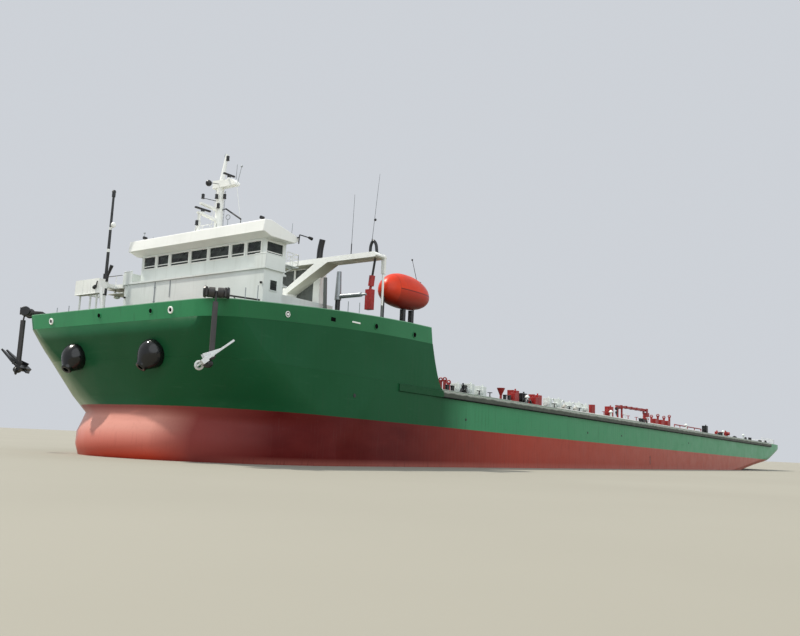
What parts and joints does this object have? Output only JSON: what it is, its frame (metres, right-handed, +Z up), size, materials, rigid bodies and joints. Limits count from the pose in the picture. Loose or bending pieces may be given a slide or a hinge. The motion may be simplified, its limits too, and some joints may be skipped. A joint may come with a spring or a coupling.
{
  "type": "self-propelled river barge, 1:10 scale model",
  "caption": "Long flat-bottomed river barge with a raised forecastle, accommodation and wheelhouse forward and a low open main deck aft.",
  "frame": {"origin": "on the centreline at the height of the flat bottom, near the middle of the length", "axes": "+X towards the bow, +Y to port, +Z up"},
  "size_m": [15.6358, 2.6104, 2.6915],
  "materials": {
    "hull_paint": "satin green",
    "bulwark_paint": "satin light green",
    "fender_paint": "worn dark grey",
    "bottom_paint": "matt red",
    "white_paint": "satin white",
    "red_paint": "satin red",
    "black_paint": "satin black",
    "boat_orange": "gloss orange",
    "steel": "bare steel",
    "bronze": "bronze"
  },
  "bodies": {
    "hull": {"hull_bow": "hull_paint", "hull_midbody": "hull_paint", "hull_stern": "hull_paint", "forecastle": "hull_paint", "bulwark_front": "bulwark_paint", "bulwark_port": "bulwark_paint", "bulwark_starboard": "bulwark_paint", "fender_port": "fender_paint", "fender_starboard": "fender_paint", "skeg_port": "bottom_paint", "skeg_starboard": "bottom_paint", "deckhouse": "white_paint", "bridge_deck": "white_paint", "wheelhouse": "white_paint", "wheelhouse_roof": "white_paint", "radar_mast": "white_paint", "signal_mast": "black_paint", "gantry": "white_paint", "exhaust_port": "black_paint", "exhaust_starboard": "black_paint", "lifeboat_port": "boat_orange", "lifeboat_starboard": "boat_orange", "lifeboat_cradle_port": "black_paint", "lifeboat_cradle_starboard": "black_paint", "boat_crane_post": "white_paint", "fairlead_port": "black_paint", "fairlead_starboard": "black_paint", "anchor_port": "steel", "anchor_starboard": "steel", "hawse_bell_port": "black_paint", "hawse_bell_starboard": "black_paint", "windlass": "red_paint", "crane_pedestal": "red_paint", "boom_rest": "red_paint", "winch_forward_port": "red_paint", "winch_forward_starboard": "red_paint", "winch_aft_port": "red_paint", "winch_aft_starboard": "red_paint", "deck_pipework": "white_paint"},
    "propeller_port": {"propeller_port": "bronze"},
    "propeller_starboard": {"propeller_starboard": "bronze"},
    "rudder_port": {"rudder_port": "bottom_paint"},
    "rudder_starboard": {"rudder_starboard": "bottom_paint"},
    "radar_scanner_lower": {"radar_scanner_lower": "white_paint"},
    "radar_scanner_upper": {"radar_scanner_upper": "white_paint"},
    "wheelhouse_door_port": {"wheelhouse_door_port": "white_paint"},
    "wheelhouse_door_starboard": {"wheelhouse_door_starboard": "white_paint"},
    "deckhouse_door_port": {"deckhouse_door_port": "white_paint"},
    "deckhouse_door_starboard": {"deckhouse_door_starboard": "white_paint"},
    "crane_column": {"crane_column": "red_paint"},
    "crane_boom": {"crane_boom": "red_paint"},
    "boat_crane_boom": {"boat_crane_boom": "steel"},
    "flukes_port": {"flukes_port": "steel"},
    "flukes_starboard": {"flukes_starboard": "steel"},
    "roller_port": {"roller_port": "black_paint"},
    "roller_starboard": {"roller_starboard": "black_paint"},
    "winch_drum_forward_port": {"winch_drum_forward_port": "red_paint"},
    "winch_drum_forward_starboard": {"winch_drum_forward_starboard": "red_paint"},
    "winch_drum_aft_port": {"winch_drum_aft_port": "red_paint"},
    "winch_drum_aft_starboard": {"winch_drum_aft_starboard": "red_paint"}
  },
  "joints": [
    {"name": "propeller_port_spin", "type": "hinge", "parent": "hull", "child": "propeller_port", "pos_m": [-6.0207, 0.55, 0.105], "axis": [1, 0, 0], "continuous": true},
    {"name": "propeller_starboard_spin", "type": "hinge", "parent": "hull", "child": "propeller_starboard", "pos_m": [-6.0207, -0.55, 0.105], "axis": [1, 0, 0], "continuous": true},
    {"name": "rudder_port_steer", "type": "hinge", "parent": "hull", "child": "rudder_port", "pos_m": [-6.2907, 0.55, 0.1], "axis": [0, 0, 1], "range_deg": [-35, 35]},
    {"name": "rudder_starboard_steer", "type": "hinge", "parent": "hull", "child": "rudder_starboard", "pos_m": [-6.2907, -0.55, 0.1], "axis": [0, 0, 1], "range_deg": [-35, 35]},
    {"name": "radar_lower_spin", "type": "hinge", "parent": "hull", "child": "radar_scanner_lower", "pos_m": [6.9393, 0, 2.135], "axis": [0, 0, 1], "continuous": true},
    {"name": "radar_upper_spin", "type": "hinge", "parent": "hull", "child": "radar_scanner_upper", "pos_m": [6.7693, 0.098, 2.465], "axis": [0, 0, 1], "continuous": true},
    {"name": "wheelhouse_door_port_swing", "type": "hinge", "parent": "hull", "child": "wheelhouse_door_port", "pos_m": [6.6973, 0.266, 1.683], "axis": [0, 0, 1], "range_deg": [0, 110]},
    {"name": "wheelhouse_door_starboard_swing", "type": "hinge", "parent": "hull", "child": "wheelhouse_door_starboard", "pos_m": [6.6973, -0.266, 1.683], "axis": [0, 0, 1], "range_deg": [-110, 0]},
    {"name": "deckhouse_door_port_swing", "type": "hinge", "parent": "hull", "child": "deckhouse_door_port", "pos_m": [6.8173, 0.546, 1.29], "axis": [0, 0, 1], "range_deg": [0, 110]},
    {"name": "deckhouse_door_starboard_swing", "type": "hinge", "parent": "hull", "child": "deckhouse_door_starboard", "pos_m": [6.8173, -0.546, 1.29], "axis": [0, 0, 1], "range_deg": [-110, 0]},
    {"name": "crane_slew", "type": "hinge", "parent": "hull", "child": "crane_column", "pos_m": [-3.1207, 0, 0.93], "axis": [0, 0, 1], "range_deg": [-180, 180]},
    {"name": "crane_luff", "type": "hinge", "parent": "crane_column", "child": "crane_boom", "pos_m": [-3.1207, 0, 1.06], "axis": [0, -1, 0], "range_deg": [0, 75]},
    {"name": "boat_crane_slew", "type": "hinge", "parent": "hull", "child": "boat_crane_boom", "pos_m": [5.9993, 0.72, 1.5], "axis": [0, 0, 1], "range_deg": [-60, 0]},
    {"name": "flukes_port_tilt", "type": "hinge", "parent": "hull", "child": "flukes_port", "pos_m": [7.7373, 1.178, 0.8], "axis": [0.5646, 0.8253, 0], "range_deg": [0, 90]},
    {"name": "flukes_starboard_tilt", "type": "hinge", "parent": "hull", "child": "flukes_starboard", "pos_m": [7.7373, -1.178, 0.8], "axis": [-0.858, -0.5136, 0], "range_deg": [0, 90]},
    {"name": "roller_port_spin", "type": "hinge", "parent": "hull", "child": "roller_port", "pos_m": [7.7173, 1.158, 1.227], "axis": [-0.7071, 0.7071, 0], "continuous": true},
    {"name": "roller_starboard_spin", "type": "hinge", "parent": "hull", "child": "roller_starboard", "pos_m": [7.7173, -1.158, 1.227], "axis": [-0.7071, -0.7071, 0], "continuous": true},
    {"name": "winch_forward_port_spin", "type": "hinge", "parent": "hull", "child": "winch_drum_forward_port", "pos_m": [2.9293, 0.8, 0.84845], "axis": [0, 1, 0], "continuous": true},
    {"name": "winch_forward_starboard_spin", "type": "hinge", "parent": "hull", "child": "winch_drum_forward_starboard", "pos_m": [2.9293, -0.8, 0.84845], "axis": [0, 1, 0], "continuous": true},
    {"name": "winch_aft_port_spin", "type": "hinge", "parent": "hull", "child": "winch_drum_aft_port", "pos_m": [-4.8207, 0.8, 0.74382], "axis": [0, 1, 0], "continuous": true},
    {"name": "winch_aft_starboard_spin", "type": "hinge", "parent": "hull", "child": "winch_drum_aft_starboard", "pos_m": [-4.8207, -0.8, 0.74382], "axis": [0, 1, 0], "continuous": true}
  ]
}
